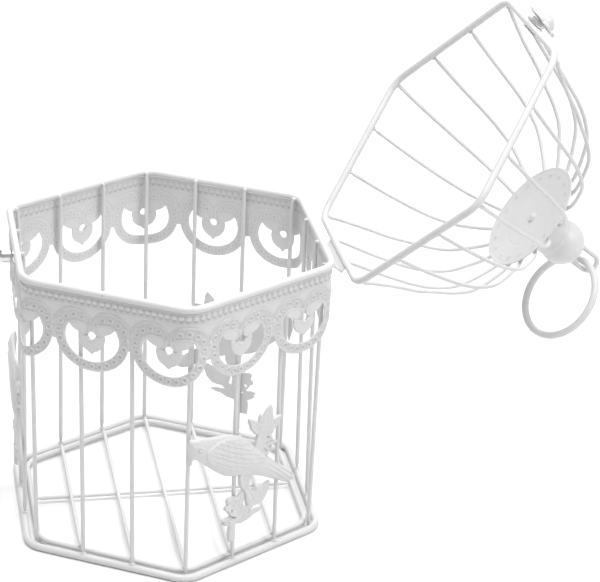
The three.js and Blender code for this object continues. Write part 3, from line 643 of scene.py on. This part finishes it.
def build_ornaments():
    """Three castings, one on every other wall."""
    step = 0.45
    x, y = np.meshgrid(np.arange(-67, 36.5, step), np.arange(20, 123.5, step))
    bird = polygon_depth(x, y, flat_spline([*BIRD, BIRD[0]], 4)[:-1])
    swell = np.clip(bird / 12, 0, 1)
    body = 1.0 + 3.2 * np.sqrt(swell * (2 - swell))
    # Feathers sweep back from the shoulder in long overlapping rows; the wing's lower edge stands proud.
    wing, t, across = leaf_fields(x, y, (-50, 102), (7, 80), 10.5)
    ragged = 0.5 * np.sin(x * 0.31 + across) + 0.35 * np.sin(x * 0.83 - across * 1.7)
    row = (across + 5.0 * np.sin(2.4 * t) + ragged) / 3.3
    step_down = (row % 1) ** 2
    body += np.clip(wing / 1.0, 0, 1) * (0.75 - 0.42 * step_down * np.clip(t * 5, 0, 1))
    scales = np.abs(np.sin(x * 0.75 + y * 0.2) * np.sin(y * 0.8 - x * 0.3))
    body -= 0.22 * scales * (wing < 0) * (x < -30) * (y > 92)
    tail = np.clip((x - 5) / 8, 0, 1)
    body -= 0.5 * tail * (((x * 0.66 + y * 0.75) / 2.9) % 1) ** 2
    eye = np.hypot(x + 54.5, y - 105.8)
    body += ridge(eye - 2.0, 0.5, 0.35) + dome(eye, 1.1, 0.6) - ridge(eye - 1.3, 0.3, 0.3)
    body -= 0.8 * np.clip((99 - y) / 3, 0, 1) * (x < -56)
    inside = bird.copy()
    height = np.where(bird > 0, body, 0)
    for base, tip, half in LEAVES:
        depth, t, across = leaf_fields(x, y, base, tip, half)
        scallops = 0.35 * np.abs(np.sin(t * 11)) * (half > 3)
        depth = depth - scallops
        vein = ridge(across, 0.45, 0.5) * (half > 2)
        side_vein = 0.14 * np.cos(2 * np.pi * (t * 5 - np.abs(across) / 3.4))
        side_vein *= (np.abs(across) > 0.5) * (half > 3)
        cup = 1.3 + 0.9 * np.clip(np.abs(across) / half, 0, 1) + vein + side_vein + 0.5 * t
        leaf = np.where(depth > 0, np.minimum(cup, 0.9 + depth * 1.4), 0)
        height = np.maximum(height, leaf)
        inside = np.maximum(inside, depth)
    branch = np.full(x.shape, 1e9)
    line = flat_spline(BRANCH, 6)
    for start, end in zip(line, line[1:]):
        branch = np.minimum(branch, segment_way(x, y, start, end))
    bark = dome(branch, 1.75, 1.5) + 1.0 + 0.12 * np.sin(y * 2.2 + x)
    height = np.maximum(height, np.where(branch < 1.7, bark, 0))
    inside = np.maximum(inside, 1.7 - branch)
    # The stalk clasps a bar at the foot of the spray.
    stalk = np.minimum(3.2 - np.abs(x + 23.4 + 0.25 * np.sin(y * 0.5)), np.minimum(y - 22.2, 39 - y))
    bulge = 1.4 + dome(x + 23.4, 3.4, 1.6) - ridge(y - 25, 0.6, 0.4)
    height = np.maximum(height, np.where(stalk > 0, bulge, 0))
    inside = np.maximum(inside, stalk)
    for cx, cy, radius in BUDS:
        way = np.hypot(x - cx, y - cy)
        height = np.maximum(height, np.where(way < radius, 1.8 + dome(way, radius, 1.2), 0))
        inside = np.maximum(inside, radius - way)
    inside = np.minimum(inside, np.hypot(x + 24.4, y - 46.6) - 1.3)
    round_off = 0.7 * (1 - np.clip(inside / 0.9, 0, 1)) ** 2
    front = np.maximum(height, 0.9) - round_off
    back = 0.25 * (1 - np.clip(inside / 0.9, 0, 1)) ** 2
    pu, pv, pw, faces, _ = relief_plate(x, y, inside, front, back)
    # The head is bent round the corner of the cage.
    edge = (ORNAMENT_OUT - BEND) * math.tan(math.pi / 6)
    turn = np.maximum(-edge - pu, 0) / BEND
    pu = np.where(turn > 0, -edge - (BEND + pw) * np.sin(turn), pu)
    pw = np.where(turn > 0, (BEND + pw) * np.cos(turn) - BEND, pw)
    for number, wall in ((1, 5), (2, 1), (3, 3)):
        angle = wall * math.pi / 3
        along = np.array((-math.sin(angle), math.cos(angle)))
        out = np.array((math.cos(angle), math.sin(angle)))
        reach = ORNAMENT_OUT + pw
        verts = np.stack([pu * along[0] + reach * out[0], pu * along[1] + reach * out[1], pv], axis=1)
        add_mesh(f"bird_casting_{number}", verts, faces, to_row, "cage", f"bird_branch_{number}", CAST_COAT,
                 sharp=60)


# ------------------------------------------------------------------ lid
def build_ribs():
    """Eighteen bent wires that end on the cap disc."""
    # Ribs as distance from the axis and height over the lid's rim.
    rib_foot = 104.3
    shoulder = [(82, 72.6), (72, 85.1), (58, 94.1), (46, 100), (40, 101.6), (33, 102.5)]
    mid = [(math.hypot(rib_foot, BAR_SIDE), 3.4), (98.9, 28.1), (94, 44.1), (88.9, 59), *shoulder]
    corner = [(corner_reach(LID_RIM) - 0.8, 3.4), (111.3, 15), (103.4, 31), (97, 46), (89.3, 59.5), *shoulder]
    turn = math.atan2(BAR_SIDE, rib_foot)
    count = 0
    for wall in range(6):
        middle = wall * math.pi / 3
        for profile, angle in ((mid, middle - turn), (mid, middle + turn), (corner, middle + math.pi / 6)):
            count += 1
            way = Vector((math.cos(angle), math.sin(angle), 0))
            line = [way * out + Vector((2 * math.tanh(up / 35), 0, LID_Z + up)) for out, up in profile]
            line = spline(line, 7)
            parts = [sweep(line, THIN_WIRE, up=way, bead=0.3)]
            parts.append(weld_bead(line[0] - Vector((0, 0, 0.7)), (1.9, 1.9, 1.0), count + 11))
            parts.append(weld_bead(line[-1] - Vector((0, 0, 1.5)) + way * 2, (2.2, 1.5, 1.0), count + 31))
            verts, faces = joined(parts)
            add_mesh(f"rib_wire_{count:02d}", verts, faces, open_lid, "lid", f"rib_{count:02d}", COAT)


def build_disc():
    """Cap disc: its upper face, its rounded edge, its lower face and the screw head."""
    top = DISC_TOP
    radius = 41.8
    drop = [(radius * t, top - 3 * t * t) for t in np.linspace(0, 1, 40)]
    edge = [(radius + 0.35 * math.sin(a), top - 3.5 + 0.5 * math.cos(a)) for a in np.linspace(0.4, 2.8, 5)]
    under = [(r, z - 1) for r, z in reversed(drop)]
    screw = [(3.6, top - 1.2), (3.4, top - 2.0), (2.4, top - 2.5)]
    profile = [(0, top), *drop[1:], *edge, *[p for p in under if p[0] > 3.8], *screw, (0, top - 2.6)]
    verts, faces = lathe(list(reversed(profile)), 120)
    shade = []
    for vert in verts:
        reach = math.hypot(vert.x, vert.y)
        angle = math.atan2(vert.y, vert.x)
        sixth = (math.degrees(angle) + 390) % 60
        near = min(abs(sixth - rib) for rib in (0, 19.4, 40.6, 60))
        # A dimple under each rib end, and shallow rings left by the press.
        press = 0.7 * math.exp(-((reach - 35.5) / 1.1) ** 2) * math.exp(-(near * reach * 0.0175 / 1.1) ** 2)
        swirl = 0.14 * math.exp(-((reach - 24) / 0.8) ** 2) + 0.2 * math.exp(-((reach - 39.5) / 0.6) ** 2)
        swirl += 0.1 * math.cos(60 * angle) * max(0, min(1, (reach - 31) / 4))
        vert.z += swirl - press
        # Painted shade: the screw's slot and the dimples under the rib ends are drawn darker.
        slot = vert.z < top - 2.2 and abs(vert.x) < 0.45 and reach < 3
        shade.append(0.75 if slot else 1 - 0.45 * press)
    disc_place = open_lid @ Matrix.Translation((DISC_SHIFT, 0, 0))
    add_mesh("cap_disc_sheet", verts, faces, disc_place, "lid", "cap_disc", COAT, shade=shade)


def build_finial():
    """Hollow ball on its neck, and the wire eye on the ball."""
    foot = DISC_TOP + GAP
    start = math.pi - math.asin(15.6 / BALL_RADIUS)
    arc = []
    for a in np.linspace(start, 0.02, 40):
        arc.append((BALL_RADIUS * math.sin(a), BALL_Z + BALL_RADIUS * math.cos(a)))
    neck = [(16.0, foot), (16.3, foot + 0.6), (15.9, foot + 1.6), (15.6, foot + 6), (15.5, foot + 14),
            (15.4, foot + 19), (15.8, foot + 20), (15.4, foot + 21), (15.75, foot + 22), (15.5, foot + 23)]
    outer = [*smooth_profile(neck, 0.5), *arc]
    inner = [(max(r - 1, 0.3), z if z < BALL_Z else z - 1) for r, z in reversed(outer)]
    verts, faces = lathe([(0, inner[0][1]), *inner, *outer, (0, BALL_Z + BALL_RADIUS)], 72, wobble=0.004)
    ball_place = open_lid @ Matrix.Translation((BALL_SHIFT, 0, 0))
    add_mesh("finial_ball", verts, faces, ball_place, "lid", "finial", COAT)

    # Eye: a wire bent to a U, its legs standing on the ball.
    centre = LID_Z + 161.3
    eye_radius, eye_wire = 6.6, 1.8
    bend = [Vector((eye_radius * math.cos(a), 0, centre + eye_radius * math.sin(a)))
            for a in np.linspace(math.pi, 0, 25)]
    sides = (-eye_radius, eye_radius)
    legs = [[Vector((x, 0, z)) for z in np.linspace(BALL_Z + 14.6, centre, 16)[:-1]] for x in sides]
    parts = [sweep([*legs[0], *bend, *reversed(legs[1])], eye_wire, up=(0, 1, 0))]
    parts += [weld_bead((x, 0, BALL_Z + 15.4), (2.8, 2.6, 0.9), 5 + x) for x in sides]
    verts, faces = joined(parts)
    add_mesh("eye_loop", verts, faces, ball_place, "lid", "ring_eye", COAT)


def build_ring():
    """Lifting ring: it leans outward from the eye, with the seam of its ends on the far side."""
    ring_radius, ring_wire = 31.4, 2.7
    outward = Vector((0.996, -0.087, 0.026)).normalized()
    across = Vector((0, -0.3, -0.95)).cross(outward).normalized()
    eye = Vector((4, 0, LID_Z + 159.95))
    hoop = []
    for a in np.linspace(0, 2 * math.pi, 97)[:-1]:
        hoop.append(eye + outward * ring_radius * (1 - math.cos(a)) + across * ring_radius * math.sin(a))
    parts = [sweep(hoop, ring_wire, sides=28, closed=True, up=outward.cross(across))]
    joint = eye + outward * 2 * ring_radius
    parts.append(weld_bead(joint, (2.78, 2.4, 2.78), 9))
    verts, faces = joined(parts)
    add_mesh("lift_ring", verts, faces, open_lid, "ring", "ring_handle", COAT)


# ------------------------------------------------------------------ catch and hinge
def build_stud():
    """The catch's chromed barrel."""
    stud = [
        (0, 0), (5.0, 0), (5.0, 0.5), (4.3, 0.9), (4.2, 1.6), (4.7, 2.1), (4.8, 3), (4.8, 8.2), (4.6, 9.4),
        (3.9, 10.5), (2.6, 11.1), (1.4, 11.2), (1.2, 10.9), (0, 10.8),
    ]
    verts, faces = lathe(smooth_profile(stud, 0.5), 48)
    turn = Matrix.Translation((-107.9, 0, TOP_Z - 9.9)) @ Matrix.Rotation(-math.pi / 2, 4, "Y")
    add_mesh("stud_barrel", verts, faces, to_row @ turn, "cage", "catch_stud", CHROME)


def build_flower():
    """The clasp's plate: eight petals round a raised dome."""
    flower_radius = 14
    grid = np.arange(-15, 15.1, 0.3)
    x, y = np.meshgrid(grid, grid)
    way, angle = np.hypot(x, y), np.arctan2(y, x)
    reach = flower_radius * (0.93 + 0.07 * np.abs(np.cos(4 * angle)) ** 0.6)
    inside = reach - way
    petals = 0.9 * np.abs(np.cos(4 * angle)) ** 0.7 * np.clip((way - 5) / 5, 0, 1)
    front = 1.4 + petals + dome(way, 9.4, 7.2) + ridge(way - 9.8, 0.5, 0.4)
    front += 0.25 * np.cos(24 * angle) * np.clip((way - 8) / 3, 0, 1)
    front -= 0.9 * (1 - np.clip(inside / 1.2, 0, 1)) ** 2
    back = 0.5 * petals + dome(way, 8.6, 6.0)
    pu, pv, pw, faces, _ = relief_plate(x, y, inside, front, back)
    tilt = math.radians(15)
    up = Vector((math.sin(tilt), 0, math.cos(tilt)))
    facing = Vector((-math.cos(tilt), 0, math.sin(tilt)))
    side = up.cross(facing)
    base = Vector((-LID_RIM - 6.4, 0, LID_Z + 3.5))
    verts = [base + side * a + up * b + facing * c for a, b, c in zip(pu, pv, pw)]
    add_mesh("flower_plate", verts, faces, open_lid, "clasp", "clasp_flower", COAT, sharp=50)


def coat_plain_pieces():
    """Hinge and clasp tab keep their packed form, with worn edges and the same coat."""
    for node in ("hinge_body_leaf", "hinge_lid_leaf", "hinge_pin", "clasp_tab"):
        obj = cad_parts[node]
        obj.data.materials.clear()
        obj.data.materials.append(COAT)
        color = obj.data.color_attributes.new("shade", "FLOAT_COLOR", "POINT")
        color.data.foreach_set("color", np.ones(4 * len(obj.data.vertices), dtype=np.float32))
        bevel = obj.modifiers.new("worn_edges", "BEVEL")
        bevel.width = 0.00025
        bevel.segments = 3
        bevel.limit_method = "ANGLE"


# ------------------------------------------------------------------ stage
def build_stage():
    """Floor, light and camera."""
    half = 12.0
    mesh = bpy.data.meshes.new("floor")
    edges = [(-half, -half, 0), (half, -half, 0), (half, half, 0), (-half, half, 0)]
    mesh.from_pydata(edges, [], [(0, 1, 2, 3)])
    floor = bpy.data.objects.new("floor", mesh)
    bpy.context.collection.objects.link(floor)
    material, tree, shader = node_tree("pale_floor")
    place = tree.nodes.new("ShaderNodeNewGeometry").outputs["Position"]
    tint = ramp(tree, noise_node(tree, place, 3), 0.3, 0.7, (0.79,) * 3, (0.81,) * 3)
    tree.links.new(tint, shader.inputs["Base Color"])
    shader.inputs["Roughness"].default_value = 0.9
    mesh.materials.append(material)

    world = bpy.data.worlds.new("studio")
    world.use_nodes = True
    world.node_tree.nodes["Background"].inputs["Color"].default_value = (1, 1, 1, 1)
    world.node_tree.nodes["Background"].inputs["Strength"].default_value = 0.48
    bpy.context.scene.world = world

    def softbox(name, where, size, energy):
        """A rectangular lamp that faces the cage."""
        light = bpy.data.lights.new(name, "AREA")
        light.shape = "RECTANGLE"
        light.size, light.size_y = size
        light.energy = energy
        lamp = bpy.data.objects.new(name, light)
        lamp.location = where
        lamp.rotation_euler = (Vector((0, 0, 0.15)) - Vector(where)).to_track_quat("-Z", "Y").to_euler()
        bpy.context.collection.objects.link(lamp)

    softbox("key_right", (1.6, -1.0, 1.8), (1.0, 1.0), 22)
    softbox("top", (-0.1, -0.2, 2.3), (1.6, 1.6), 46)
    softbox("behind", (0.4, 3.2, 2.4), (3.0, 3.0), 60)

    view = bpy.context.scene.view_settings
    view.view_transform = "Standard"
    view.look = "None"

    azimuth, elevation, roll = (math.radians(angle) for angle in (-11.9943, 24.9709, 2.5703))
    back = Vector((math.sin(azimuth) * math.cos(elevation), -math.cos(azimuth) * math.cos(elevation),
                   math.sin(elevation)))
    level = Vector((math.cos(azimuth), math.sin(azimuth), 0))
    upright = back.cross(level)
    right = level * math.cos(roll) + upright * math.sin(roll)
    up = upright * math.cos(roll) - level * math.sin(roll)
    camera_data = bpy.data.cameras.new("camera")
    camera_data.lens = 130.78
    camera_data.sensor_width = 36
    camera_data.sensor_fit = "HORIZONTAL"
    camera = bpy.data.objects.new("camera", camera_data)
    spot = cage_origin + Vector((-200.696, -1403.834, 830.402 + RIM)) * 0.001
    camera.matrix_world = Matrix((
        (right.x, up.x, back.x, spot.x), (right.y, up.y, back.y, spot.y), (right.z, up.z, back.z, spot.z),
        (0, 0, 0, 1)))
    bpy.context.collection.objects.link(camera)
    bpy.context.scene.camera = camera


build_wires()
build_band()
build_ornaments()
build_ribs()
build_disc()
build_finial()
build_ring()
build_stud()
build_flower()
coat_plain_pieces()
build_stage()
